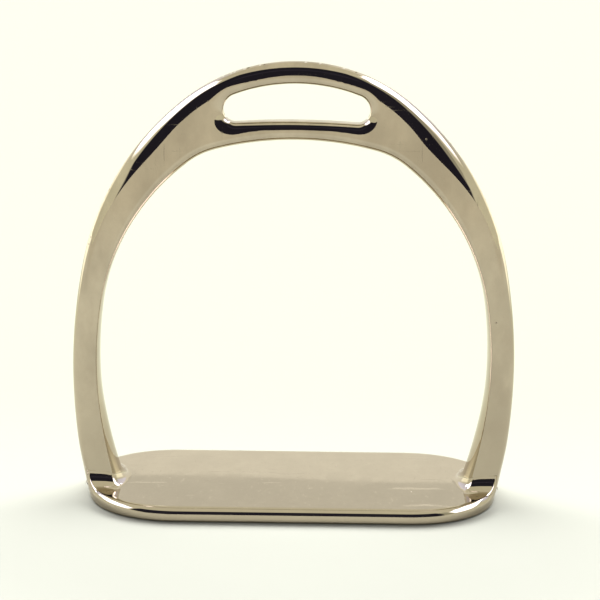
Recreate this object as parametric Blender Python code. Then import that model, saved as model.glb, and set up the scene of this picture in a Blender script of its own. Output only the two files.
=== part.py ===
"""Stirrup iron: a bow with a leather eye, tenoned and brazed into a flat tread plate.

Metres, +Z up. The origin is the centre of the tread's underside, which stands on the ground.
+X runs across the opening, from the left branch to the right one. The foot goes in along +Y.
Run with: blender --background --python part.py
"""
from math import acos, ceil, cos, pi, radians, sin, sqrt

import bmesh
import bpy
from mathutils import Vector

# ---- driving dimensions (metres) -------------------------------------------------------------
GAP = 0.0003                    # clearance kept between pieces that touch

# Outer line of the bow, seen from the front: tangent arcs from the top down one side.
OUTER_TOP_Z = 0.1535
OUTER_RADII = (0.0573, 0.0980, 0.2133)
OUTER_BREAKS = (0.0, 39.5, 78.0, 102.0)      # normal's angle from +Z where each arc starts, degrees

# Inner line of the bow: the opening that the rider's foot goes through.
INNER_TOP_Z = 0.1284
INNER_RADII = (0.1010, 0.0265, 0.0783, 0.1522)
INNER_BREAKS = (0.0, 14.9, 38.4, 81.0, 108.0)

# Bow section
CROWN_HALF_DEPTH = 0.0031       # half its size along Y round the leather eye
BRANCH_HALF_DEPTH = 0.0053      # half way down the branches
FOOT_HALF_DEPTH = 0.0063        # where the feet stand on the tread
CROWN_LOW_Z = 0.128             # the crown's depth holds above this height
BRANCH_HIGH_Z = 0.070           # the branch's depth holds below this height
FOOT_FLARE_Z = 0.032            # the foot starts to widen below this height
OUTER_EDGE_RADIUS = 0.0031      # rounding of the bow's two outer edges
INNER_EDGE_RADIUS = 0.0011      # rounding of its two inner edges, on the branches
CROWN_INNER_RADIUS = 0.0025     # the same on the crown, whose lower bar is nearly round

# Leather eye: an arched top, round ends and a bottom that bows up a little, as tangent arcs
EYE_TOP_Z = 0.1465
EYE_RADII = (0.0550, 0.0055, 0.0039)
EYE_BREAKS = (0.0, 21.3, 100.0, 184.2)
EYE_FLARE = 0.0023              # rounding of the eye's front and back edges

# Tread plate
TREAD_THICKNESS = 0.0050
TREAD_HALF_DEPTH = 0.0232
TREAD_STRAIGHT = 0.0383         # half length of the straight front and back edges
TREAD_END = 0.0714              # half length over the rounded ends
TREAD_END_POWER = 2.2           # superellipse power of the ends (2 is an ellipse)
TREAD_TOP_RADIUS = 0.0022       # rounding of the upper rim edge
TREAD_BOTTOM_RADIUS = 0.0008    # rounding of the lower rim edge
RIM_AT_FOOT = 0.0003            # upper rounding where a foot stands flush with the rim
FOOT_FLUSH_Y = 0.0075           # the rim stays sharp this far each side of the foot's middle

# Tenon and mortise (hidden)
TENON_HALF_DEPTH = 0.0038
TENON_INSET = 0.0026            # how far the tenon is set in from the foot's inner and outer faces
TENON_LENGTH = 0.0036           # how far it goes down into the tread

# Braze fillets
FILLET_RADIUS = 0.0048
FILLET_END_RADIUS = 0.0014      # at the foot's outer edges, where the rim leaves less room
FILLET_TOE = 0.0003             # thickness of the bead's feathered edges

# Mesh fineness
ARC_STEP = radians(3.0)         # turn between stations round the crown
BRANCH_STEP = 0.0048            # height between stations down the branches
CORNER_STEPS = 4                # facets round each rounded edge
FILLET_STEPS = 6                # facets across a bead's hollow face
FACE_STEPS = 4                  # sections of a bead along the foot's front and back
EYE_STEPS = 8                   # facets on each of the eye's arcs
TREAD_END_STEPS = 28            # facets round each end of the tread

NICKEL = (0.56, 0.50, 0.40)
BRAZE = (0.60, 0.53, 0.41)


# ---- scene and object helpers ----------------------------------------------------------------
def clear_scene():
    for obj in list(bpy.data.objects):
        bpy.data.objects.remove(obj, do_unlink=True)


def metal(name, colour, roughness):
    material = bpy.data.materials.new(name)
    material.use_nodes = True
    shader = material.node_tree.nodes["Principled BSDF"]
    shader.inputs["Base Color"].default_value = (*colour, 1.0)
    shader.inputs["Metallic"].default_value = 1.0
    shader.inputs["Roughness"].default_value = roughness
    material.diffuse_color = (*colour, 1.0)
    return material


def ring_solid(name, rings, material=None):
    """One closed body through a list of rings with equal point counts, capped at both ends."""
    count = len(rings[0])
    points = [tuple(point) for ring in rings for point in ring]
    faces = []
    for row in range(len(rings) - 1):
        for i in range(count):
            j = (i + 1) % count
            low, high = row * count, (row + 1) * count
            faces.append((low + i, low + j, high + j, high + i))
    last = (len(rings) - 1) * count
    faces.append(tuple(range(count)))
    faces.append(tuple(range(last, last + count)))
    mesh = bpy.data.meshes.new(name)
    mesh.from_pydata(points, [], faces)
    shell = bmesh.new()
    shell.from_mesh(mesh)
    bmesh.ops.recalc_face_normals(shell, faces=shell.faces)
    shell.to_mesh(mesh)
    shell.free()
    mesh.shade_smooth()
    mesh.set_sharp_from_angle(angle=radians(35))
    obj = bpy.data.objects.new(name, mesh)
    bpy.context.collection.objects.link(obj)
    if material:
        mesh.materials.append(material)
    return obj


def cut(body, cutter):
    """Subtracts cutter from body with a Boolean modifier, and hides the cutter."""
    cutter.hide_render = True
    cutter.display_type = "WIRE"
    boolean = body.modifiers.new("cut_" + cutter.name, "BOOLEAN")
    boolean.operation = "DIFFERENCE"
    boolean.solver = "EXACT"
    boolean.object = cutter


def smooth(t):
    t = min(max(t, 0.0), 1.0)
    return t * t * (3.0 - 2.0 * t)


# ---- lines of tangent arcs -------------------------------------------------------------------
class ArcLine:
    """A chain of tangent arcs that starts at the top of the XZ plane's Z axis."""

    SLACK = 1e-6                # rounding error allowed where two arcs meet, radians and metres

    def __init__(self, top_z, radii, breaks):
        self.radii = radii
        self.breaks = [radians(b) for b in breaks]
        self.centres = [(0.0, top_z - radii[0])]
        for k in range(1, len(radii)):
            x, z = self.centres[-1]
            change = radii[k - 1] - radii[k]
            angle = self.breaks[k]
            self.centres.append((x + change * sin(angle), z + change * cos(angle)))

    def at_angle(self, angle):
        """The point whose outward normal leans this far from +Z."""
        k = sum(angle >= b for b in self.breaks[1:-1])
        x, z = self.centres[k]
        return x + self.radii[k] * sin(angle), z + self.radii[k] * cos(angle)

    def angle_at_z(self, height):
        """The normal's angle at this height, on the right-hand side."""
        for k, (x, z) in enumerate(self.centres):
            ratio = (height - z) / self.radii[k]
            if abs(ratio) <= 1.0:
                angle = acos(ratio)
                if self.breaks[k] <= angle <= self.breaks[k + 1]:
                    return angle
        raise ValueError("the line doesn't reach this height")

    def hit(self, px, pz, angle):
        """How far from (px, pz) the line lies, going inwards against a normal at this angle."""
        dx, dz = -sin(angle), -cos(angle)
        best = None
        for k, (x, z) in enumerate(self.centres):
            ox, oz = px - x, pz - z
            half = ox * dx + oz * dz
            rest = half * half - (ox * ox + oz * oz - self.radii[k] ** 2)
            if rest < 0:
                continue
            for far in (-half - sqrt(rest), -half + sqrt(rest)):
                lean = acos(max(-1.0, min(1.0, (oz + far * dz) / self.radii[k])))
                side = ox + far * dx
                inside = self.breaks[k] - self.SLACK <= lean <= self.breaks[k + 1] + self.SLACK
                if far > 0 and side > -self.SLACK and inside and (best is None or far < best):
                    best = far
        return best


OUTER = ArcLine(OUTER_TOP_Z, OUTER_RADII, OUTER_BREAKS)
INNER = ArcLine(INNER_TOP_Z, INNER_RADII, INNER_BREAKS)
EYE = ArcLine(EYE_TOP_Z, EYE_RADII, EYE_BREAKS)


# ---- bow -------------------------------------------------------------------------------------
def half_depth(z):
    """Half the bow's size along Y at this height."""
    branch = smooth((CROWN_LOW_Z - z) / (CROWN_LOW_Z - BRANCH_HIGH_Z))
    flare = smooth((FOOT_FLARE_Z - z) / (FOOT_FLARE_Z - TREAD_THICKNESS))
    depth = CROWN_HALF_DEPTH + (BRANCH_HALF_DEPTH - CROWN_HALF_DEPTH) * branch
    return depth + (FOOT_HALF_DEPTH - BRANCH_HALF_DEPTH) * flare


def inner_edge_radius(z):
    crown = smooth((z - BRANCH_HIGH_Z) / (CROWN_LOW_Z - BRANCH_HIGH_Z))
    return INNER_EDGE_RADIUS + (CROWN_INNER_RADIUS - INNER_EDGE_RADIUS) * crown


def rounded_section(width, depth, inner_radius, outer_radius):
    """(across, y) points round a section that runs from 0 on the inner face to width outside."""
    corners = (
        (inner_radius, depth - inner_radius, inner_radius, pi / 2),
        (inner_radius, inner_radius - depth, inner_radius, pi),
        (width - outer_radius, outer_radius - depth, outer_radius, 3 * pi / 2),
        (width - outer_radius, depth - outer_radius, outer_radius, 0.0),
    )
    points = []
    for across, y, radius, start in corners:
        for step in range(CORNER_STEPS + 1):
            turn = start + pi / 2 * step / CORNER_STEPS
            points.append((across + radius * cos(turn), y + radius * sin(turn)))
    return points


def bow_station(x, z, lean, side):
    """A ring across the bow from the outer point (x, z), inwards against the given lean."""
    width = INNER.hit(x, z, lean)
    ix, iz = x - width * sin(lean), z - width * cos(lean)
    depth = half_depth(z)
    ring = []
    for across, y in rounded_section(width, depth, inner_edge_radius(iz), OUTER_EDGE_RADIUS):
        ring.append((side * (ix + across * sin(lean)), y, iz + across * cos(lean)))
    return ring


def foot_edges(z):
    """Inner and outer x of a branch at this height."""
    outer_x = OUTER.at_angle(OUTER.angle_at_z(z))[0]
    return outer_x - INNER.hit(outer_x, z, pi / 2), outer_x


def tenon_ring(side, z, grow=0.0):
    """A ring with the bow's point count round the tenon, at height z, grown for the mortise."""
    inner_x, outer_x = foot_edges(TREAD_THICKNESS + GAP)
    low = inner_x + TENON_INSET - grow
    width = outer_x - TENON_INSET + grow - low
    depth = TENON_HALF_DEPTH + grow
    corner = INNER_EDGE_RADIUS + grow
    return [(side * (low + across), y, z)
            for across, y in rounded_section(width, depth, corner, corner)]


def bow_half(side):
    """Rings from the tenon's end up to the crown, for the side -1 (left) or 1 (right)."""
    sole = TREAD_THICKNESS + GAP
    rings = [tenon_ring(side, sole - TENON_LENGTH), tenon_ring(side, sole)]
    widest = OUTER.at_angle(pi / 2)[1]
    steps = ceil((widest - sole) / BRANCH_STEP)
    for step in range(steps):
        z = sole + (widest - sole) * step / steps
        x = OUTER.at_angle(OUTER.angle_at_z(z))[0]
        rings.append(bow_station(x, z, pi / 2, side))
    turns = ceil(pi / 2 / ARC_STEP)
    for step in range(turns):
        lean = pi / 2 * (1.0 - step / turns)
        x, z = OUTER.at_angle(lean)
        rings.append(bow_station(x, z, lean, side))
    return rings


def eye_outline(grow):
    """The eye's outline in the XZ plane, offset outwards by grow."""
    points = []
    for k, (x, z) in enumerate(EYE.centres):
        radius = EYE.radii[k] + grow
        start, end = EYE.breaks[k], EYE.breaks[k + 1]
        for step in range(EYE_STEPS):
            angle = start + (end - start) * step / EYE_STEPS
            points.append((x + radius * sin(angle), z + radius * cos(angle)))
    # the bottom bows up, so its arc's centre is below the eye, on the Z axis
    x, z = EYE.centres[-1]
    lean = EYE.breaks[-1]
    reach = -x / sin(lean)
    bow_z = z + reach * cos(lean)
    radius = reach - EYE.radii[-1] - grow
    for step in range(EYE_STEPS + 1):
        angle = (lean - pi) * (1.0 - step / EYE_STEPS)
        points.append((radius * sin(angle), bow_z + radius * cos(angle)))
    return points + [(-x, z) for x, z in reversed(points[1:-1])]


def eye_cutter():
    """The eye's hole with flared mouths, so that it leaves rounded edges on the crown."""
    depth = CROWN_HALF_DEPTH
    levels = [(2.0 * depth, EYE_FLARE)]
    for step in range(CORNER_STEPS + 1):
        turn = pi / 2 * step / CORNER_STEPS
        levels.append((depth - EYE_FLARE * (1.0 - cos(turn)), EYE_FLARE * (1.0 - sin(turn))))
    levels += [(-y, grow) for y, grow in reversed(levels)]
    rings = [[(x, y, z) for x, z in eye_outline(grow)] for y, grow in levels]
    return ring_solid("eye_cutter", rings)


def make_bow(material):
    crown = bow_station(0.0, OUTER_TOP_Z, 0.0, 1)
    rings = bow_half(-1) + [crown] + list(reversed(bow_half(1)))
    bow = ring_solid("bow", rings, material)
    cut(bow, eye_cutter())
    return bow


# ---- tread plate -----------------------------------------------------------------------------
def tread_outline():
    """(x, y, nx, ny) round the plan, anticlockwise from the right-hand end's front."""
    a = TREAD_END - TREAD_STRAIGHT
    b = TREAD_HALF_DEPTH
    power = TREAD_END_POWER
    quarter = []
    for step in range(TREAD_END_STEPS // 2 + 1):
        turn = pi / 2 * step / (TREAD_END_STEPS // 2)
        c, s = cos(turn), sin(turn)
        x = a * abs(c) ** (2 / power)
        y = b * abs(s) ** (2 / power)
        normal = Vector((abs(x / a) ** (power - 1) / a, abs(y / b) ** (power - 1) / b)).normalized()
        quarter.append((TREAD_STRAIGHT + x, y, normal.x, normal.y))
    right = [(x, -y, nx, -ny) for x, y, nx, ny in reversed(quarter)] + quarter[1:]
    left = [(-x, -y, -nx, -ny) for x, y, nx, ny in right]
    return right + left


def top_radius(x, y):
    """The upper rim's rounding, which fades out where a foot stands flush with the rim."""
    if abs(x) < TREAD_STRAIGHT:
        return TREAD_TOP_RADIUS
    fade = smooth((abs(y) - FOOT_FLUSH_Y) / FOOT_FLUSH_Y)
    return RIM_AT_FOOT + (TREAD_TOP_RADIUS - RIM_AT_FOOT) * fade


def make_tread(material):
    rings = []
    for step in range(CORNER_STEPS + 1):
        turn = pi / 2 * step / CORNER_STEPS
        inset = TREAD_BOTTOM_RADIUS * (1.0 - sin(turn))
        z = TREAD_BOTTOM_RADIUS * (1.0 - cos(turn))
        rings.append([(x - inset * nx, y - inset * ny, z) for x, y, nx, ny in tread_outline()])
    for step in range(CORNER_STEPS + 1):
        turn = pi / 2 * step / CORNER_STEPS
        ring = []
        for x, y, nx, ny in tread_outline():
            radius = top_radius(x, y)
            inset = radius * (1.0 - cos(turn))
            z = TREAD_THICKNESS - radius * (1.0 - sin(turn))
            ring.append((x - inset * nx, y - inset * ny, z))
        rings.append(ring)
    tread = ring_solid("tread_plate", rings, material)
    floor_z = TREAD_THICKNESS - TENON_LENGTH
    for side, name in ((-1, "left"), (1, "right")):
        mortise = [tenon_ring(side, z, GAP) for z in (floor_z, 2.0 * TREAD_THICKNESS)]
        cut(tread, ring_solid("mortise_" + name, mortise))
    return tread


# ---- braze fillets ---------------------------------------------------------------------------
def foot_path(z, side):
    """(x, y, nx, ny) along the foot's front, inner and back faces, GAP clear of them."""
    inner_x, outer_x = foot_edges(z)
    depth = half_depth(z)
    radius = INNER_EDGE_RADIUS
    end_x = outer_x - OUTER_EDGE_RADIUS
    path = []
    for step in range(FACE_STEPS):
        x = end_x + (inner_x + radius - end_x) * step / FACE_STEPS
        path.append((x, -depth, 0.0, -1.0))
    for step in range(CORNER_STEPS + 1):
        turn = pi / 2 * step / CORNER_STEPS
        nx, ny = -sin(turn), -cos(turn)
        path.append((inner_x + radius + radius * nx, radius - depth + radius * ny, nx, ny))
    path += [(x, -y, nx, -ny) for x, y, nx, ny in reversed(path)]
    return [(side * (x + GAP * nx), y + GAP * ny, side * nx, ny) for x, y, nx, ny in path]


def fillet_ring(side, index, share):
    """The bead's section at one point of the path: two thin edges and a hollow face."""
    base = TREAD_THICKNESS + GAP
    reach = FILLET_END_RADIUS + (FILLET_RADIUS - FILLET_END_RADIUS) * share
    x, y, nx, ny = foot_path(base, side)[index]
    ring = [(x, y, base)]
    for step in range(FILLET_STEPS + 1):
        turn = pi / 2 * step / FILLET_STEPS
        out = reach * (1.0 - sin(turn)) + FILLET_TOE
        up = reach * (1.0 - cos(turn)) + FILLET_TOE
        wall = foot_path(base + up, side)[index]
        lean_x, lean_y = wall[0] - x, wall[1] - y
        if step == 0:
            ring.append((x + nx * out, y + ny * out, base))
        near = sin(turn)
        ring.append((x + nx * out + lean_x * near, y + ny * out + lean_y * near, base + up))
    top = base + reach + 2 * FILLET_TOE
    wall = foot_path(top, side)[index]
    ring.append((wall[0], wall[1], top))
    return ring


def make_fillet(name, side, material):
    last = len(foot_path(TREAD_THICKNESS + GAP, side)) - 1
    rings = []
    for index in range(last + 1):
        from_end = min(index, last - index)
        rings.append(fillet_ring(side, index, sin(pi / 2 * min(1.0, from_end / FACE_STEPS))))
    return ring_solid(name, rings, material)


def main():
    clear_scene()
    nickel = metal("nickel_plate", NICKEL, 0.12)
    braze = metal("braze_metal", BRAZE, 0.18)
    make_bow(nickel)
    make_tread(nickel)
    make_fillet("braze_fillet_left", -1, braze)
    make_fillet("braze_fillet_right", 1, braze)


main()
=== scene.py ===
"""Stirrup iron: the looks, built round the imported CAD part, in metres in the same frame."""

from math import cos, pi, radians, sin

import bpy
import numpy as np
from mathutils import Matrix, Vector


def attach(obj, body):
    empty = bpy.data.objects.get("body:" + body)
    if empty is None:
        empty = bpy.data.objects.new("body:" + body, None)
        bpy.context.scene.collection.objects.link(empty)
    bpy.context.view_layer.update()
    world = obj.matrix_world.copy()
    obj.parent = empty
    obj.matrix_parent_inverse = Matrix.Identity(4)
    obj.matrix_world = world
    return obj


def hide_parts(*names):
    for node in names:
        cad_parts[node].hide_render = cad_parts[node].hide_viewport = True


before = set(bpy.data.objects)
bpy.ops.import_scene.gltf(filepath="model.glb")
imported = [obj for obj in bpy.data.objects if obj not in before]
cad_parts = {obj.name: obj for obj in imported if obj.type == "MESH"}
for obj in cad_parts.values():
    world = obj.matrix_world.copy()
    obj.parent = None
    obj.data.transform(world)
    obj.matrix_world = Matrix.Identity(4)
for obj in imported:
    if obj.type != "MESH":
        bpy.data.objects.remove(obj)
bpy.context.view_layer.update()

# ---- sizes (metres) ----------------------------------------------------------------------------
OUTER_TOP_Z = 0.1535
OUTER_RADII = (0.0573, 0.0980, 0.2090)
OUTER_BREAKS = (0.0, 39.5, 78.0, 110.0)
INNER_TOP_Z = 0.1284
INNER_RADII = (0.1010, 0.0265, 0.0783, 0.1522)
INNER_BREAKS = (0.0, 14.9, 38.4, 81.0, 112.0)
EYE_TOP_Z = 0.1465
EYE_RADII = (0.0550, 0.0055, 0.0039)
EYE_BREAKS = (0.0, 21.3, 100.0, 184.2)

DEPTH_HEIGHTS = (0.005, 0.032, 0.062, 0.130, 0.150)   # heights along the bow, half its depth there
HALF_DEPTHS = (0.0063, 0.0053, 0.0053, 0.0028, 0.0032)
FACET_HEIGHTS = (0.100, 0.121, 0.130, 0.143)      # the shoulders' faces fall away past a low ridge
FACET_SHARES = (0.0, 1.0, 1.0, 0.0)
FACET_REACH = 0.0046
FACET_SLOPE = 0.022
FACET_BLEND = 0.0005
CROWN_LOW_Z = 0.128
BRANCH_HIGH_Z = 0.070
INNER_EDGE_RADIUS = 0.0006
CROWN_INNER_RADIUS = 0.0025
BULGE_HEIGHTS = (0.010, 0.022, 0.040, 0.128)
INNER_BULGES = (0.0022, 0.0018, 0.0008, 0.0006)   # how far the inner face crowns past its edges
INNER_SHIFTS = (0.0005, 0.0003, 0.0001, 0.0)
EDGE_HEIGHTS = (0.005, 0.014, 0.104, 0.125, 0.144, 0.153)   # the outer edges' rounding by height:
EDGE_IN_PLANE = (0.0027, 0.0031, 0.0028, 0.0056, 0.0053, 0.0032)   # across the face
EDGE_IN_DEPTH = (0.0023, 0.0031, 0.0031, 0.0030, 0.0029, 0.0032)   # along Y
SHOULDER_EXTRA = 0.0014          # how much wider the rounding is on the right-hand shoulder
SHOULDER_LOW = (0.106, 0.024)    # the height where it starts, and over how far it grows
SHOULDER_HIGH = (0.150, 0.018)   # the height where it ends, and over how far it fades
SHOULDER_SIDE = (0.0, 0.020)     # where it starts along X, and over how far it grows
FOOT_EDGE_TRIM = 0.0015          # how much smaller the rounding is where a foot stands on the tread
TRIM_LOW = (0.003, 0.0035)
TRIM_HIGH = (0.030, 0.018)
TRIM_SIDE = (0.060, 0.005)
EYE_EDGE_PLACES = (-0.026, -0.014, 0.012, 0.024)   # along X, and the eye's rounding there
EYE_EDGE_IN_PLANE = (0.0052, 0.0025, 0.0025, 0.0036)
EYE_EDGE_IN_DEPTH = 0.0019
EYE_LOW_Z = 0.110                # the eye's line is only read above this height

TREAD_THICKNESS = 0.0050
TREAD_HALF_DEPTH = 0.0230
TREAD_STRAIGHT = 0.0383
TREAD_END_POWER = 2.2
TREAD_BOTTOM_RADIUS = 0.0008
RIM_DRAFT = 0.035                # the rim's lean, as a slope
RIM_LEAN_TOP = 0.03              # the rim's ends follow the bow's outer line up to this height
RIM_TO_BOW = (0.008, 0.014)      # where the rim's outline passes into the bow's outer face
TREAD_TILT_PLACES = (-0.060, 0.0, 0.028, 0.058)   # how the hand-finished top leans along its length
TREAD_TILTS = (0.0019, 0.0, -0.0009, 0.0009)
TREAD_TILT_BLEND = 0.015
FILLET_PLACES = (0.0560, 0.0605, 0.0640, 0.0705)
FILLET_RADII = (0.0022, 0.0040, 0.0052, 0.0055)   # across each foot, from the opening outwards
FILLET_MOST = 0.0055
FILLET_BLEND = 0.001
SEAM_INSET = 0.0002
SEAM_SIDE_X = 0.045              # the seams lie beyond this on each side
SEAM_LOW_Z = 0.003               # and between these two heights
SEAM_HIGH_Z = 0.016
BEAD_FILL = 0.9                  # how far a bead's hidden sides reach towards its neighbours
TENON_SHARE = 0.5                # the hidden tenon's size, as a share of the foot's
MORTISE_MARGIN = 0.08            # how much larger the mortise's share is
TENON_LENGTH = 0.0036
TENON_GAP = 0.0003
WAVES = ((210.0, 0.3, 90.0, 0.0), (130.0, 40.0, -260.0, 1.9), (-320.0, 60.0, 180.0, 4.1),
         (70.0, 150.0, 420.0, 2.7), (460.0, -90.0, 140.0, 5.3))
WAVE_DEPTH = 0.000004
WAVE_RISE = 0.020                # the waves grow over this height above the tread

# ---- mesh --------------------------------------------------------------------------------------
GRID = 0.0005
GRID_OFFSET = 0.137              # in grid steps, so that no flat face lies on the grid
GRID_HALF_WIDTH = 0.0747
BLOCK_LAYERS = 40
PROBE = 2e-5                     # step for measuring a field's slope
RELAX_SHARE = 0.6
SNAP = 0.06                      # a point this near a seam, in grid steps, counts as on it


def smooth(t):
    t = np.clip(t, 0.0, 1.0)
    return t * t * (3.0 - 2.0 * t)


def mix(a, b, t):
    return a + (b - a) * t


def grown(v, start):
    """From 0 at a place to 1 once past it by a length."""
    place, length = start
    return smooth((v - place) / length)


def between(v, start, end):
    place, length = end
    return grown(v, start) * smooth((place - v) / length)


# ---- lines of tangent arcs ---------------------------------------------------------------------
class ArcLine:
    """Tangent arcs in the XZ plane, mirrored about X = 0.

    breaks are the normal's angles from +Z, in degrees, where each arc starts, and the last one's end.
    """

    def __init__(self, top_z, radii, breaks, closed=False):
        breaks = [radians(b) for b in breaks]
        x, z = 0.0, top_z - radii[0]
        self.arcs = [(x, z, radii[0], breaks[0], breaks[1], 1.0)]
        for k in range(1, len(radii)):
            change = radii[k - 1] - radii[k]
            x, z = x + change * sin(breaks[k]), z + change * cos(breaks[k])
            self.arcs.append((x, z, radii[k], breaks[k], breaks[k + 1], 1.0))
        if closed:
            lean = breaks[-1]
            reach = -x / sin(lean)
            self.arcs.append((0.0, z + reach * cos(lean), reach - radii[-1], 0.0, lean - pi, -1.0))

    def distance(self, x, z):
        """Signed distance, negative inside the line."""
        x = np.abs(x)
        best = np.full(np.broadcast(x, z).shape, np.inf)
        spare = best.copy()
        for cx, cz, radius, low, high, sense in self.arcs:
            dx, dz = x - cx, z - cz
            gap = (np.hypot(dx, dz) - radius) * sense
            angle = np.mod(np.arctan2(dx, dz) + 1e-9, 2.0 * pi)
            held = (angle >= low - 1e-6) & (angle <= high + 1e-6)
            best = np.where(held & (np.abs(gap) < np.abs(best)), gap, best)
            spare = np.where(np.abs(gap) < np.abs(spare), gap, spare)
        return np.where(np.isinf(best), spare, best)


OUTER = ArcLine(OUTER_TOP_Z, OUTER_RADII, OUTER_BREAKS)
INNER = ArcLine(INNER_TOP_Z, INNER_RADII, INNER_BREAKS)
EYE = ArcLine(EYE_TOP_Z, EYE_RADII, EYE_BREAKS, closed=True)


def outer_reach(z):
    """The outer line's x at a height on the lowest arc."""
    x, centre_z, radius = OUTER.arcs[-1][:3]
    return x + np.sqrt(radius ** 2 - (z - centre_z) ** 2)


# ---- the iron as a distance field --------------------------------------------------------------
def rounded_all(fields, radii):
    """Inside every field, with the edges between them rounded by an ellipse."""
    square, steep, most = 0.0, 0.0, -np.inf
    for field, radius in zip(fields, radii):
        share = np.maximum(field / radius + 1.0, 0.0)
        square = square + share ** 2
        steep = steep + (share / radius) ** 2
        most = np.maximum(most, field)
    reach = np.sqrt(square)
    edge = (reach - 1.0) * reach / np.sqrt(np.maximum(steep, 1.0))
    return np.where(square > 0.0, edge, most)


def rounded_both(a, b, radius):
    return rounded_all((a, b), (radius, radius))


def filleted_either(a, b, radius):
    """Inside either field, with the corner between them filled by an arc."""
    return (np.maximum(np.minimum(a, b) - radius, 0.0)
            + radius - np.hypot(np.minimum(a - radius, 0.0), np.minimum(b - radius, 0.0)))


def along(z, heights, values, blend=0.004):
    """Straight runs between values at rising heights, with soft corners."""
    out, before = values[0], 0.0
    for k, height in enumerate(heights):
        last = k == len(heights) - 1
        slope = 0.0 if last else (values[k + 1] - values[k]) / (heights[k + 1] - height)
        past = z - height
        out = out + (slope - before) * (past + np.hypot(past, blend)) / 2.0
        before = slope
    return out


def fillet_radius(x):
    return along(np.abs(x), FILLET_PLACES, FILLET_RADII, FILLET_BLEND)


def half_depth(z):
    return along(z, DEPTH_HEIGHTS, HALF_DEPTHS)


def bow_column(x, y, z):
    """The bow's front, back and inner faces."""
    depth = half_depth(z)
    inside = INNER.distance(x, z)
    past = inside - FACET_REACH
    fall = FACET_SLOPE * (past + np.hypot(past, FACET_BLEND)) / 2.0
    face = np.abs(y) - depth + fall * along(z, FACET_HEIGHTS, FACET_SHARES)
    bulge = along(z, BULGE_HEIGHTS, INNER_BULGES) * (1.0 - np.minimum(np.abs(y) / depth, 1.0) ** 2)
    inner = along(z, BULGE_HEIGHTS, INNER_SHIFTS) - inside - bulge
    crown = smooth((z - BRANCH_HIGH_Z) / (CROWN_LOW_Z - BRANCH_HIGH_Z))
    return rounded_both(inner, face, mix(INNER_EDGE_RADIUS, CROWN_INNER_RADIUS, crown))


def plan_field(x, y, z):
    """The tread's outline, whose ends lean with the bow's outer face."""
    end = outer_reach(np.minimum(z, RIM_LEAN_TOP)) - TREAD_STRAIGHT
    across_x = np.maximum(np.abs(x) - TREAD_STRAIGHT, 0.0) / end
    across_y = np.abs(y) / TREAD_HALF_DEPTH
    p = TREAD_END_POWER
    level = np.maximum((across_x ** p + across_y ** p) ** (1.0 / p), 1e-6)
    slope = np.hypot((across_x / level) ** (p - 1) / end,
                     (across_y / level) ** (p - 1) / TREAD_HALF_DEPTH)
    return (level - 1.0) / np.maximum(slope, 1.0 / end)


def waviness(x, y, z):
    """The faint unevenness left by hand polishing."""
    waves = sum(np.sin(a * x + b * y + c * z + d) for a, b, c, d in WAVES)
    return WAVE_DEPTH * waves * smooth((z - TREAD_THICKNESS) / WAVE_RISE)


def iron_field(p):
    """Negative inside the whole iron, with bow, tread and fillets as one."""
    x, y, z = p[..., 0], p[..., 1], p[..., 2]
    column = bow_column(x, y, z)
    plan = plan_field(x, y, z) + RIM_DRAFT * (np.clip(z, 0.0, TREAD_THICKNESS) - TREAD_THICKNESS)
    side = mix(plan, OUTER.distance(x, z), grown(z, RIM_TO_BOW))
    top = TREAD_THICKNESS + y * along(x, TREAD_TILT_PLACES, TREAD_TILTS, TREAD_TILT_BLEND)
    body = filleted_either(column, z - top, fillet_radius(x))
    trim = between(z, TRIM_LOW, TRIM_HIGH) * grown(np.abs(x), TRIM_SIDE)
    shoulder = between(z, SHOULDER_LOW, SHOULDER_HIGH) * grown(x, SHOULDER_SIDE)
    in_plane = along(z, EDGE_HEIGHTS, EDGE_IN_PLANE) - FOOT_EDGE_TRIM * trim + SHOULDER_EXTRA * shoulder
    in_depth = along(z, EDGE_HEIGHTS, EDGE_IN_DEPTH)
    eye = np.where(z > EYE_LOW_Z, -EYE.distance(x, z), -1.0)
    eye_edge = along(x, EYE_EDGE_PLACES, EYE_EDGE_IN_PLANE)
    near_eye = np.maximum(eye / eye_edge + 1.0, 0.0)
    near_side = np.maximum(side / in_plane + 1.0, 0.0)
    in_depth = mix(in_depth, EYE_EDGE_IN_DEPTH, near_eye / (near_eye + near_side + 1e-6))
    field = rounded_all((side, eye, body), (in_plane, eye_edge, in_depth))
    base = np.where(z < TREAD_BOTTOM_RADIUS, rounded_both(side, -z, TREAD_BOTTOM_RADIUS), -1.0)
    return np.maximum(field + waviness(x, y, z), base)


def gradient(p):
    out = np.empty_like(p)
    for axis in range(3):
        step = np.zeros(3)
        step[axis] = PROBE
        out[:, axis] = (iron_field(p + step) - iron_field(p - step)) / (2.0 * PROBE)
    return out


def onto_surface(p, rounds=3):
    for _ in range(rounds):
        slope = gradient(p)
        move = iron_field(p)[:, None] * slope / np.maximum((slope ** 2).sum(1), 0.05)[:, None]
        p = p - np.clip(move, -GRID, GRID)
    return p


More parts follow.
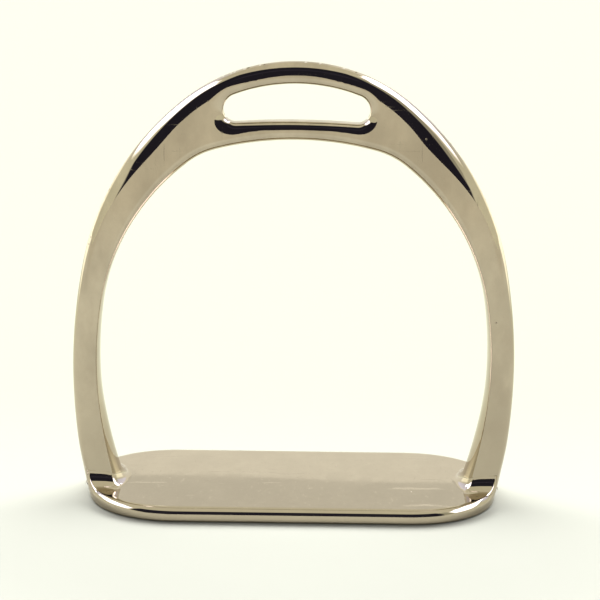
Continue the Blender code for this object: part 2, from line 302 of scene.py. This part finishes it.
# ---- mesh from the field -----------------------------------------------------------------------
def sampled_field():
    """The field on a grid round the iron, worked out only where the iron can be."""
    margin = 3.0 * GRID
    low = np.array([-GRID_HALF_WIDTH, -TREAD_HALF_DEPTH, 0.0]) - margin
    high = np.array([GRID_HALF_WIDTH, TREAD_HALF_DEPTH, OUTER_TOP_Z]) + margin
    axes = [np.arange(a, b + GRID, GRID) + GRID * GRID_OFFSET for a, b in zip(low, high)]
    values = np.ones([len(a) for a in axes], np.float32)
    slim = np.abs(axes[1]) < HALF_DEPTHS[0] + 2.0 * GRID
    deep = np.ones(len(axes[1]), bool)
    split = np.searchsorted(axes[2], TREAD_THICKNESS + 2.0 * FILLET_MOST)
    blocks = [(deep, 0, split)]
    for start in range(split, len(axes[2]), BLOCK_LAYERS):
        blocks.append((slim, start, min(start + BLOCK_LAYERS, len(axes[2]))))
    for rows, start, stop in blocks:
        x, y, z = np.meshgrid(axes[0], axes[1][rows], axes[2][start:stop], indexing="ij")
        part = iron_field(np.stack([x, y, z], axis=-1))
        values[:, np.nonzero(rows)[0][:, None], np.arange(start, stop)[None, :]] = part
    return axes, values


def surface_net(axes, values):
    """Vertices and quads of the zero surface."""
    inside = values < 0
    corners = [(a, b, c) for a in (0, 1) for b in (0, 1) for c in (0, 1)]
    nx, ny, nz = (n - 1 for n in values.shape)

    def corner(grid, a, b, c):
        return grid[a:a + nx, b:b + ny, c:c + nz]

    count = sum(corner(inside, *k).astype(np.int8) for k in corners)
    cells = np.argwhere((count > 0) & (count < 8))
    total = np.zeros((len(cells), 3))
    hits = np.zeros(len(cells))
    i, j, k = cells.T
    for start in corners:
        for axis in range(3):
            if start[axis]:
                continue
            stop = list(start)
            stop[axis] = 1
            f0 = values[i + start[0], j + start[1], k + start[2]].astype(float)
            f1 = values[i + stop[0], j + stop[1], k + stop[2]].astype(float)
            crossed = (f0 < 0) != (f1 < 0)
            t = np.where(crossed, f0 / np.where(crossed, f0 - f1, 1.0), 0.0)
            point = np.array(start, float) + t[:, None] * np.eye(3)[axis]
            total += np.where(crossed[:, None], point, 0.0)
            hits += crossed
    origin = np.array([a[0] for a in axes])
    points = origin + GRID * (cells + total / hits[:, None])
    index = np.full((nx, ny, nz), -1, np.int64)
    index[i, j, k] = np.arange(len(cells))
    quads = []
    for axis in range(3):
        u, v = (axis + 1) % 3, (axis + 2) % 3
        first = [slice(None)] * 3
        second = [slice(None)] * 3
        first[axis], second[axis] = slice(0, -1), slice(1, None)
        a, b = inside[tuple(first)], inside[tuple(second)]
        edges = np.argwhere(a != b)
        leaving = a[tuple(edges.T)]
        ring = []
        for du, dv in ((1, 1), (0, 1), (0, 0), (1, 0)):
            cell = edges.copy()
            cell[:, u] -= du
            cell[:, v] -= dv
            ring.append(index[tuple(cell.T)])
        ring = np.stack(ring, axis=1)
        quads.append(np.where(leaving[:, None], ring, ring[:, ::-1]))
    return points, np.concatenate(quads)


def main_part(count, faces):
    """Which faces belong to the largest part whose faces share points."""
    parent = list(range(count))

    def root(v):
        while parent[v] != v:
            parent[v] = parent[parent[v]]
            v = parent[v]
        return v

    for face in faces:
        first = root(face[0])
        for v in face[1:]:
            parent[root(v)] = first
    roots = np.array([root(face[0]) for face in faces])
    labels, sizes = np.unique(roots, return_counts=True)
    return roots == labels[sizes.argmax()]


def relaxed(points, quads, rounds=4):
    """Evens out the mesh along the surface."""
    a = quads.ravel()
    b = np.roll(quads, -1, axis=1).ravel()
    ends = np.concatenate([a, b])
    others = np.concatenate([b, a])
    count = np.bincount(ends, minlength=len(points))
    for _ in range(rounds):
        mean = np.stack([np.bincount(ends, points[others, c], len(points)) for c in range(3)], 1)
        points = onto_surface(mix(points, mean / count[:, None], RELAX_SHARE), 1)
    return onto_surface(points, 2)


# ---- separate pieces ---------------------------------------------------------------------------
def bow_seam(p):
    """Above zero on the bow, along the top edge of the braze."""
    x, y, z = p.T
    column = bow_column(x, y, z)
    high = z - TREAD_THICKNESS
    return np.maximum(high - fillet_radius(x), np.minimum(high, -column - SEAM_INSET))


def tread_seam(p):
    """Above zero on the braze, along its edge on the tread."""
    x, y, z = p.T
    column = bow_column(x, y, z)
    return np.minimum(fillet_radius(x) - SEAM_INSET - column, z - TREAD_THICKNESS + SEAM_INSET)


def split_along(points, faces, seam, chosen):
    """Cuts the chosen faces along the line where seam is zero."""
    level = seam(points)
    level[np.abs(level) < SNAP * GRID] = 0.0
    made = {}
    points = list(map(tuple, points))
    level = list(level)
    out = []
    for face, picked in zip(faces, chosen):
        values = [level[v] for v in face]
        if not picked or min(values) >= 0 or max(values) <= 0:
            out.append((face, picked))
            continue
        ring = []
        for v, w in zip(face, face[1:] + face[:1]):
            ring.append(v)
            if level[v] * level[w] < 0:
                key = (min(v, w), max(v, w))
                if key not in made:
                    t = level[v] / (level[v] - level[w])
                    made[key] = len(points)
                    points.append(tuple(mix(np.array(points[v]), np.array(points[w]), t)))
                    level.append(0.0)
                ring.append(made[key])
        zeros = [n for n, v in enumerate(ring) if level[v] == 0.0]
        cut = False
        for first in zeros:
            for second in zeros:
                one = ring[first:second + 1]
                two = ring[second:] + ring[:first + 1]
                if second > first and len(one) > 2 and len(two) > 2:
                    signs = [{level[v] > 0 for v in part if level[v] != 0.0} for part in (one, two)]
                    if len(signs[0]) == 1 and len(signs[1]) == 1 and not cut:
                        out += [(one, True), (two, True)]
                        cut = True
        if not cut:
            out.append((ring, True))
    return np.array(points), [f for f, _ in out], [c for _, c in out]


def piece_of(points, faces):
    """bow, tread_plate or a braze fillet for each face."""
    middle = np.array([points[f].mean(axis=0) for f in faces])
    above = bow_seam(middle) > 0
    braze = (tread_seam(middle) > 0) & ~above
    names = np.where(above, "bow", "tread_plate").astype("<U20")
    names[braze & (middle[:, 0] < 0)] = "braze_fillet_left"
    names[braze & (middle[:, 0] > 0)] = "braze_fillet_right"
    return names


# ---- the hidden sides that close each piece ----------------------------------------------------
def open_edges(faces):
    """Edges with a face on one side only, as that face runs."""
    runs = {(a, b) for f in faces for a, b in zip(f, f[1:] + f[:1])}
    return [(a, b) for a, b in runs if (b, a) not in runs]


def closed_by(points, faces, ring_makers):
    """Walls through one ring after another from the open edges, then a flat end, on each side."""
    edges = open_edges(faces)
    rim = np.unique(np.array(edges))
    sides = np.sign(points[rim, 0])
    centre = np.array([points[rim[sides == s]].mean(axis=0) for s in (-1, 1)])[(sides > 0).astype(int)]
    made, walls, count = [], [], len(points)
    last = {int(v): int(v) for v in rim}
    for maker in ring_makers:
        made.append(maker(points[rim], centre))
        ring = {int(v): count + n for n, v in enumerate(rim)}
        walls += [[last[b], last[a], ring[a], ring[b]] for a, b in edges]
        count += len(rim)
        last = ring
    hubs = np.array([made[-1][sides == s].mean(axis=0) for s in (-1, 1)])
    walls += [[last[b], last[a], count + int(points[a, 0] > 0)] for a, b in edges]
    extra = np.concatenate(made + [hubs])
    normals = np.tile((0.0, 0.0, -1.0), (len(extra), 1))
    return extra, normals, walls


def at_height(p, z):
    return np.stack([p[:, 0], p[:, 1], np.full(len(p), z)], axis=1)


def shrunk(p, centre, share, z):
    return at_height(mix(centre, p, share), z)


def column_slope(p):
    """The bow's own field at points, and its slope along X and Y."""
    x, y, z = p.T
    column = bow_column(x, y, z)
    along_x = bow_column(x + PROBE, y, z) - column
    along_y = bow_column(x, y + PROBE, z) - column
    return column, np.stack([along_x, along_y], 1) / PROBE


def foot_ring(p, centre):
    """The foot of the bow, where it stands on the tread inside the braze."""
    column, slope = column_slope(p)
    inward = np.maximum(column + SEAM_INSET, 0.0) / np.maximum((slope ** 2).sum(1), 0.2)
    moved = p.copy()
    moved[:, :2] -= inward[:, None] * slope
    return at_height(moved, TREAD_THICKNESS + SEAM_INSET)


def bow_back(points, faces):
    high = TREAD_THICKNESS + SEAM_INSET
    return closed_by(points, faces, [
        foot_ring,
        lambda p, c: shrunk(p, c, TENON_SHARE, high),
        lambda p, c: shrunk(p, c, TENON_SHARE, TREAD_THICKNESS - TENON_LENGTH)])


def tread_back(points, faces):
    share = TENON_SHARE + MORTISE_MARGIN
    return closed_by(points, faces, [
        lambda p, c: shrunk(p, c, share, TREAD_THICKNESS - SEAM_INSET),
        lambda p, c: shrunk(p, c, share, TREAD_THICKNESS - TENON_LENGTH - TENON_GAP)])


def braze_back(points, faces):
    """The bead's two flat sides, against the foot and the tread."""
    column, slope = column_slope(points)
    high = points[:, 2] - TREAD_THICKNESS
    toward_foot = column[:, None] * np.column_stack([slope, np.zeros(len(slope))])
    toward_tread = high[:, None] * np.array([0.0, 0.0, 1.0])
    move = np.where((column < high)[:, None], toward_foot, toward_tread)
    rim = set(np.array(open_edges(faces)).ravel().tolist())
    inner = [v for v in range(len(points)) if v not in rim]
    number = {v: len(points) + n for n, v in enumerate(inner)}
    back = [[number.get(v, v) for v in reversed(f)] for f in faces]
    extra = points[inner] - BEAD_FILL * move[inner]
    return extra, np.tile((0.0, 0.0, -1.0), (len(extra), 1)), back


BACKS = {"bow": bow_back, "tread_plate": tread_back,
         "braze_fillet_left": braze_back, "braze_fillet_right": braze_back}


def whole_surface():
    """The iron's outer surface as one mesh of quads."""
    axes, values = sampled_field()
    points, quads = surface_net(axes, values)
    quads = quads[main_part(len(points), quads.tolist())]
    used, quads = np.unique(quads, return_inverse=True)
    points, quads = points[used], quads.reshape(-1, 4)
    return relaxed(points, quads), quads


def cut_surface():
    """Points, their normals, faces, and the piece that each face belongs to."""
    points, quads = whole_surface()
    faces = [list(map(int, q)) for q in quads]
    near = ((np.abs(points[:, 0]) > SEAM_SIDE_X)
            & (points[:, 2] < SEAM_HIGH_Z) & (points[:, 2] > SEAM_LOW_Z))
    chosen = [bool(near[f].all()) for f in faces]
    points, faces, chosen = split_along(points, faces, bow_seam, chosen)
    points, faces, _ = split_along(points, faces, tread_seam, chosen)
    points = onto_surface(points, 1)
    normals = gradient(points)
    normals /= np.linalg.norm(normals, axis=1)[:, None]
    return points, normals, faces, piece_of(points, faces)


def add_piece(name, points, normals, faces):
    """An object from a piece's visible faces and the hidden ones that close it."""
    used = np.unique(np.concatenate(faces))
    number = {int(v): n for n, v in enumerate(used)}
    own = [[number[v] for v in f] for f in faces]
    extra_points, extra_normals, extra_faces = BACKS[name](points[used], own)
    mesh = bpy.data.meshes.new(name)
    mesh.from_pydata(np.concatenate([points[used], extra_points]).tolist(), [], own + extra_faces)
    mesh.shade_smooth()
    all_normals = np.concatenate([normals[used], extra_normals])
    mesh.normals_split_custom_set_from_vertices(all_normals.tolist())
    obj = bpy.data.objects.new(name + "_finish", mesh)
    bpy.context.scene.collection.objects.link(obj)
    return obj


def build_pieces():
    points, normals, faces, names = cut_surface()
    made = {}
    for name in np.unique(names):
        own = [f for f, n in zip(faces, names) if n == name]
        made[str(name)] = add_piece(str(name), points, normals, own)
    return made


# ---- materials ---------------------------------------------------------------------------------
METAL = (0.475, 0.413, 0.315)
NICKEL_DULL = (0.44, 0.382, 0.29)
BRAZE_DULL = (0.42, 0.355, 0.25)
PIT_COLOUR = (0.16, 0.13, 0.10, 1.0)
PALE_SHARES = (1.10, 1.09, 1.08)
WORN_SHARES = (0.86, 0.84, 0.83)


class Graph:
    """Small helpers for building a node tree."""

    def __init__(self, tree):
        self.tree = tree

    def node(self, kind, *inputs, **settings):
        node = self.tree.nodes.new("ShaderNode" + kind)
        for name, value in settings.items():
            setattr(node, name, value)
        for socket, value in zip(node.inputs, inputs):
            self.feed(socket, value)
        return node

    def feed(self, socket, value):
        if isinstance(value, bpy.types.NodeSocket):
            self.tree.links.new(value, socket)
        elif value is not None:
            socket.default_value = value

    def maths(self, operation, *inputs):
        return self.node("Math", *inputs, operation=operation).outputs[0]

    def times(self, *values):
        out = values[0]
        for value in values[1:]:
            out = self.maths("MULTIPLY", out, value)
        return out

    def step(self, value, low, high, to_low=0.0, to_high=1.0):
        """A soft step from to_low to to_high as value goes from low to high."""
        node = self.node("MapRange", value, low, high, to_low, to_high,
                         interpolation_type="SMOOTHSTEP")
        return node.outputs[0]

    def ramp(self, value, low, high, to_low, to_high):
        return self.node("MapRange", value, low, high, to_low, to_high).outputs[0]

    def blend(self, share, a, b):
        node = self.node("Mix", data_type="RGBA")
        self.feed(node.inputs["Factor"], share)
        self.feed(node.inputs["A"], a)
        self.feed(node.inputs["B"], b)
        return node.outputs["Result"]


def metal_material(name, colour, dull, roughness, lumps):
    """Polished metal with cloudy tarnish, fine scratches, specks and pits."""
    material = bpy.data.materials.new(name)
    material.use_nodes = True
    g = Graph(material.node_tree)
    shader = material.node_tree.nodes["Principled BSDF"]
    place = g.node("TexCoord").outputs["Object"]

    def noise(scale, detail, stretch=(1.0, 1.0, 1.0), turn=(0.0, 0.0, 0.0)):
        mapping = g.node("Mapping", place)
        mapping.inputs["Scale"].default_value = stretch
        mapping.inputs["Rotation"].default_value = turn
        node = g.node("TexNoise")
        g.feed(node.inputs["Vector"], mapping.outputs[0])
        node.inputs["Scale"].default_value = scale
        node.inputs["Detail"].default_value = detail
        node.inputs["Roughness"].default_value = 0.62
        return node.outputs[0]

    cloud = g.step(noise(130.0, 5.0), 0.38, 0.66)
    patch = g.step(noise(75.0, 5.0, (1.0, 1.0, 0.5)), 0.34, 0.66)
    lift = g.step(g.node("SeparateXYZ", place).outputs[2], 0.006, 0.030, 0.25, 1.0)
    grain = g.step(noise(1500.0, 3.0), 0.35, 0.70)
    hairs = g.maths("MAXIMUM",
                    g.step(noise(420.0, 2.0, (0.10, 1.0, 3.2), (0.0, 0.35, 0.0)), 0.655, 0.70),
                    g.step(noise(380.0, 2.0, (3.0, 1.0, 0.09), (0.0, -0.22, 0.0)), 0.660, 0.70))
    cells = g.node("TexVoronoi", place)
    cells.inputs["Scale"].default_value = 190.0
    picked = g.step(g.node("SeparateXYZ", cells.outputs["Color"]).outputs[0], 0.70, 0.74)
    pits = g.times(picked, g.step(cells.outputs["Distance"], 0.085, 0.045))
    pale = tuple(c * k for c, k in zip(colour, PALE_SHARES))
    worn = tuple(c * k for c, k in zip(colour, WORN_SHARES))
    tone = g.blend(lift, (*colour, 1.0), g.blend(patch, (*worn, 1.0), (*pale, 1.0)))
    tone = g.blend(g.times(cloud, 0.45), tone, (*dull, 1.0))
    tone = g.blend(g.times(grain, 0.22), tone, (*dull, 1.0))
    tone = g.blend(g.times(pits, 0.55), tone, PIT_COLOUR)
    g.feed(shader.inputs["Base Color"], tone)
    shader.inputs["Metallic"].default_value = 1.0
    rough = g.maths("ADD", g.step(cloud, 0.0, 1.0, roughness, roughness * 1.9), g.times(hairs, 0.10))
    g.feed(shader.inputs["Roughness"], g.maths("ADD", rough, g.times(pits, 0.30)))
    height = g.maths("ADD", g.times(noise(260.0, 2.0), lumps), g.times(hairs, -0.05))
    height = g.maths("ADD", height, g.times(pits, -0.5))
    bump = g.node("Bump")
    bump.inputs["Strength"].default_value = 0.35
    bump.inputs["Distance"].default_value = 0.00004
    g.feed(bump.inputs["Height"], height)
    g.feed(shader.inputs["Normal"], bump.outputs[0])
    return material


# ---- studio ------------------------------------------------------------------------------------
CAMERA_ELEVATION = radians(22.0)
CAMERA_YAW = radians(-0.069)
CAMERA_ROLL = radians(0.752)
CAMERA_DISTANCE = 0.574
CAMERA_TARGET = Vector((0.0, 0.0, 0.072087))
SENSOR = 36.0                    # millimetres, like the lens
LENS = 103.2102
LENS_SHIFT = 0.0092483
FLOOR_REACH = 4.0
FLOOR_NEAR_EDGE = -0.70
FLOOR_PALE = (0.360, 0.364, 0.302, 1.0)
FLOOR_FRONT = (0.352, 0.355, 0.325, 1.0)
# painted shade: the floor far in front is darker, standing in for the shade cast by the dark opening in
# front
FLOOR_PAINTED_SHADE = (0.312, 0.303, 0.266, 1.0)
# painted light: a pool of the side lamps' light on the floor, out at the sides behind the iron
FLOOR_SIDES_PAINTED_LIGHT = (0.78, 0.79, 0.72, 1.0)
LAMP_POWER = 8.0                 # of the side lamps at their back ends
LAMP_FRONT_POWER = 3.0
KEY_POWER = 15.0
FILL_POWER = 0.45
SIDE_LIGHT = (0.99, 1.0, 0.82, 1.0)
BACK_LIGHT = (1.0, 1.0, 0.93, 1.0)
CEILING_LIGHT = (1.0, 0.99, 0.82, 1.0)
HALO_LIGHT = (1.15, 1.21, 1.80, 1.0)
LAMP_LIGHT = (0.97, 1.0, 1.35, 1.0)
DARK_LIGHT = (0.026, 0.025, 0.042, 1.0)
ROOM_LIGHT = (1.0, 1.004, 0.97, 1.0)
BACKDROP = (1.0, 1.0, 0.90, 1.0)


def add_camera():
    e, yaw, roll = CAMERA_ELEVATION, CAMERA_YAW, CAMERA_ROLL
    ahead = Vector((sin(yaw) * cos(e), cos(yaw) * cos(e), -sin(e)))
    right = Vector((cos(yaw), -sin(yaw), 0.0))
    up = right.cross(ahead)
    turned_right = cos(roll) * right + sin(roll) * up
    turned_up = cos(roll) * up - sin(roll) * right
    data = bpy.data.cameras.new("camera")
    data.sensor_width = SENSOR
    data.lens = LENS
    data.shift_x = LENS_SHIFT
    data.clip_start, data.clip_end = 0.01, 20.0
    camera = bpy.data.objects.new("camera", data)
    matrix = Matrix((turned_right, turned_up, -ahead)).transposed().to_4x4()
    matrix.translation = CAMERA_TARGET - CAMERA_DISTANCE * ahead
    camera.matrix_world = matrix
    bpy.context.scene.collection.objects.link(camera)
    bpy.context.scene.camera = camera


def add_floor():
    mesh = bpy.data.meshes.new("floor")
    reach, front = FLOOR_REACH, FLOOR_NEAR_EDGE
    corners = [(-reach, front, 0), (reach, front, 0), (reach, reach, 0), (-reach, reach, 0)]
    mesh.from_pydata(corners, [], [(0, 1, 2, 3)])
    floor = bpy.data.objects.new("floor", mesh)
    bpy.context.scene.collection.objects.link(floor)
    material = bpy.data.materials.new("floor")
    material.use_nodes = True
    shader = material.node_tree.nodes["Principled BSDF"]
    g = Graph(material.node_tree)
    x, y, _ = g.node("SeparateXYZ", g.node("TexCoord").outputs["Object"]).outputs
    across = g.maths("ABSOLUTE", x)
    tone = g.blend(g.step(y, -0.02, 0.09), FLOOR_FRONT, FLOOR_PALE)
    # painted shade: the floor darkens far in front of the iron
    tone = g.blend(g.step(y, -0.22, -0.45), tone, FLOOR_PAINTED_SHADE)
    # painted light: the floor brightens out at the sides behind the iron, where the side lamps fall
    tone = g.blend(g.times(g.step(across, 0.28, 0.45), g.step(y, 0.02, 0.15)), tone, FLOOR_SIDES_PAINTED_LIGHT)
    g.feed(shader.inputs["Base Color"], tone)
    shader.inputs["Roughness"].default_value = 0.9
    shader.inputs["Specular IOR Level"].default_value = 0.0
    mesh.materials.append(material)


# In the world, side is the angle from the camera's side of the iron, right being positive, off is
# its size, and high is the angle above the horizon, all in degrees.
def tent_level(g, off, high):
    """The walls of the light tent, its ceiling, and the darker stretch above the back wall."""
    level = g.step(off, 100.0, 150.0, 1.04, 1.30)
    level = g.maths("MINIMUM", level, g.step(high, 40.0, 60.0, 2.0, 0.98))
    back = g.times(g.step(off, 150.0, 165.0), g.step(high, 27.90, 27.95))
    level = g.maths("MINIMUM", level, g.step(back, 0.0, 1.0, 2.0, 1.02))
    glow = g.times(g.step(off, 105.0, 112.0), g.step(off, 138.0, 128.0), g.step(high, 17.0, 9.0))
    level = g.maths("ADD", level, g.times(glow, 1.1))
    return level


def side_lamps(g, side, off, high):
    """Two lamps at the sides; the right-hand one reaches further back and stands higher there."""
    right = g.step(side, -1.0, 1.0)
    lamp_low = g.maths("ADD", g.ramp(off, 45.0, 95.0, 18.5, 24.0),
                       g.times(right, g.ramp(off, 70.0, 105.0, 0.0, 20.0)))
    taller = g.maths("ADD", g.ramp(off, 45.0, 68.0, 3.5, 7.5), g.ramp(off, 105.0, 135.0, 0.0, -9.0))
    lamp_high = g.maths("ADD", g.ramp(off, 45.0, 68.0, 40.5, 53.0), g.times(right, taller))
    lamp_end = g.maths("SUBTRACT", off, g.times(right, 33.0))
    lamps = g.times(g.step(off, 43.0, 47.0), g.step(lamp_end, 107.0, 98.0),
                    g.step(g.maths("SUBTRACT", high, lamp_low), -2.0, 1.5),
                    g.step(g.maths("SUBTRACT", high, lamp_high), 1.5, -1.5))
    return lamps


def front_opening(g, side, off, high):
    """The dark opening in front, whose lower edge rises to the sides, and the dim strip beside it."""
    rise = g.maths("ADD", g.ramp(off, 4.0, 20.0, -16.5, -4.3), g.ramp(off, 20.0, 42.0, 0.0, 16.0))
    above = g.step(g.maths("SUBTRACT", high, rise), -0.8, 0.8)
    dark = g.times(g.step(side, -44.0, -40.0), g.step(side, 34.5, 31.5),
                   above, g.step(high, 53.5, 50.0))
    flank = g.times(g.step(side, 31.0, 34.5), g.step(side, 46.0, 42.0),
                    above, g.step(high, 53.0, 48.0))
    return dark, flank


def mirrored_studio(g, side, off, high):
    """What the metal mirrors."""
    lamps = side_lamps(g, side, off, high)
    dark, flank = front_opening(g, side, off, high)
    level = tent_level(g, off, high)
    level = g.maths("MINIMUM", level, g.step(flank, 0.0, 1.0, 2.0, 0.60))
    streak = g.times(g.step(high, 20.0, 23.0), g.step(high, 28.0, 25.0), g.step(off, 26.0, 14.0))
    level = g.blend(dark, level, g.step(streak, 0.0, 1.0, 1.0, 2.2))
    halo = g.times(g.step(off, 90.0, 104.0), g.step(off, 150.0, 138.0),
                   g.step(high, 16.0, 24.0), g.step(high, 56.0, 46.0))
    light = g.blend(g.step(off, 95.0, 150.0), SIDE_LIGHT, BACK_LIGHT)
    light = g.blend(g.step(high, 42.0, 62.0), light, CEILING_LIGHT)
    light = g.blend(g.times(halo, 0.65), light, HALO_LIGHT)
    light = g.blend(lamps, light, LAMP_LIGHT)
    light = g.blend(dark, light, DARK_LIGHT)
    power = g.step(off, 70.0, 100.0, LAMP_FRONT_POWER, LAMP_POWER)
    strength = g.maths("ADD", level, g.times(lamps, power))
    return g.node("Background", light, strength).outputs[0]


def floor_light(g, off, high):
    """What lights the floor: a broad lamp above and behind, and a little fill from everywhere."""
    key = g.times(g.step(off, 95.0, 125.0), g.step(high, 24.0, 44.0), g.step(high, 72.0, 52.0))
    strength = g.step(key, 0.0, 1.0, FILL_POWER, KEY_POWER)
    return g.node("Background", ROOM_LIGHT, strength).outputs[0]


def add_world():
    world = bpy.data.worlds.new("studio")
    world.use_nodes = True
    bpy.context.scene.world = world
    tree = world.node_tree
    tree.nodes.clear()
    g = Graph(tree)
    x, y, z = g.node("SeparateXYZ", g.node("TexCoord").outputs["Generated"]).outputs
    high = g.maths("DEGREES", g.maths("ARCSINE", z))
    side = g.maths("DEGREES", g.maths("ARCTAN2", x, g.maths("MULTIPLY", y, -1.0)))
    off = g.maths("ABSOLUTE", side)
    mirrored = g.node("LightPath").outputs["Is Glossy Ray"]
    studio = g.node("MixShader", mirrored, floor_light(g, off, high),
                    mirrored_studio(g, side, off, high)).outputs[0]
    pale = g.node("Background", BACKDROP, 1.0).outputs[0]
    seen = g.node("LightPath").outputs["Is Camera Ray"]
    out = g.node("OutputWorld")
    g.feed(out.inputs["Surface"], g.node("MixShader", seen, studio, pale).outputs[0])


nickel = metal_material("nickel_plate", METAL, NICKEL_DULL, roughness=0.018, lumps=0.04)
braze = metal_material("braze_metal", METAL, BRAZE_DULL, roughness=0.035, lumps=0.5)
pieces = build_pieces()
for node, obj in pieces.items():
    obj.data.materials.append(braze if node.startswith("braze") else nickel)
    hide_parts(node)
    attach(obj, "root")
add_floor()
add_world()
add_camera()
bpy.context.scene.view_settings.view_transform = "Standard"
